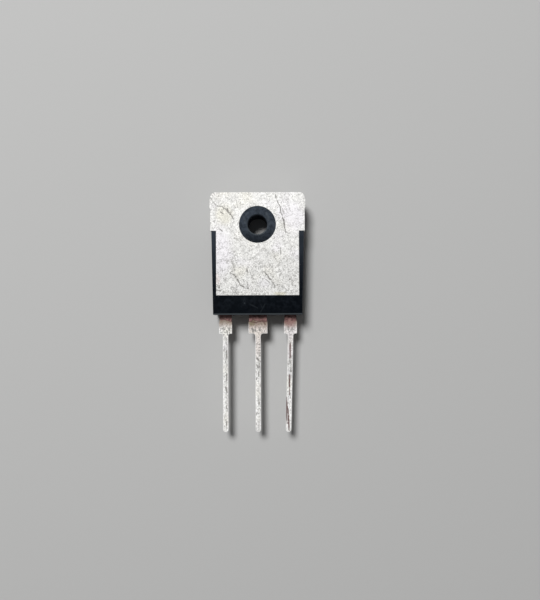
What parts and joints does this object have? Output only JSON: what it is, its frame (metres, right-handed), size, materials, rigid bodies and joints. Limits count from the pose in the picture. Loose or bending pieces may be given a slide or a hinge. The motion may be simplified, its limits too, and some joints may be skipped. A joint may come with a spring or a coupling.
{
  "type": "insulated-gate bipolar transistor",
  "caption": "Power transistor in a flat black moulded package, with an exposed heat plate, a screw hole through its tab and flat leads.",
  "frame": {"origin": "axis of the screw hole, at the level of the moulded front face that the part lies on", "axes": "+Z out of the heat plate, +Y towards the free edge of the tab, -Y along the leads, +X towards the gate lead's side"},
  "size_m": [0.0158, 0.0399, 0.0048],
  "materials": {
    "epoxy_moulding": "fine matte, as moulded",
    "tinned_plate": "dull tin plate, finely scratched",
    "tinned_leads": "dull tin plate, bare copper at the roots",
    "silicon": "metallised silicon",
    "solder": "dull solder",
    "aluminium_wire": "drawn wire"
  },
  "bodies": {
    "root": {"mould_body": "epoxy_moulding", "collector_frame": "tinned_plate", "gate_lead": "tinned_leads", "emitter_lead": "tinned_leads", "igbt_chip": "silicon", "igbt_solder": "solder", "diode_chip": "silicon", "diode_solder": "solder", "gate_wire": "aluminium_wire", "emitter_wire_1": "aluminium_wire", "emitter_wire_2": "aluminium_wire", "diode_wire": "aluminium_wire"}
  },
  "joints": []
}
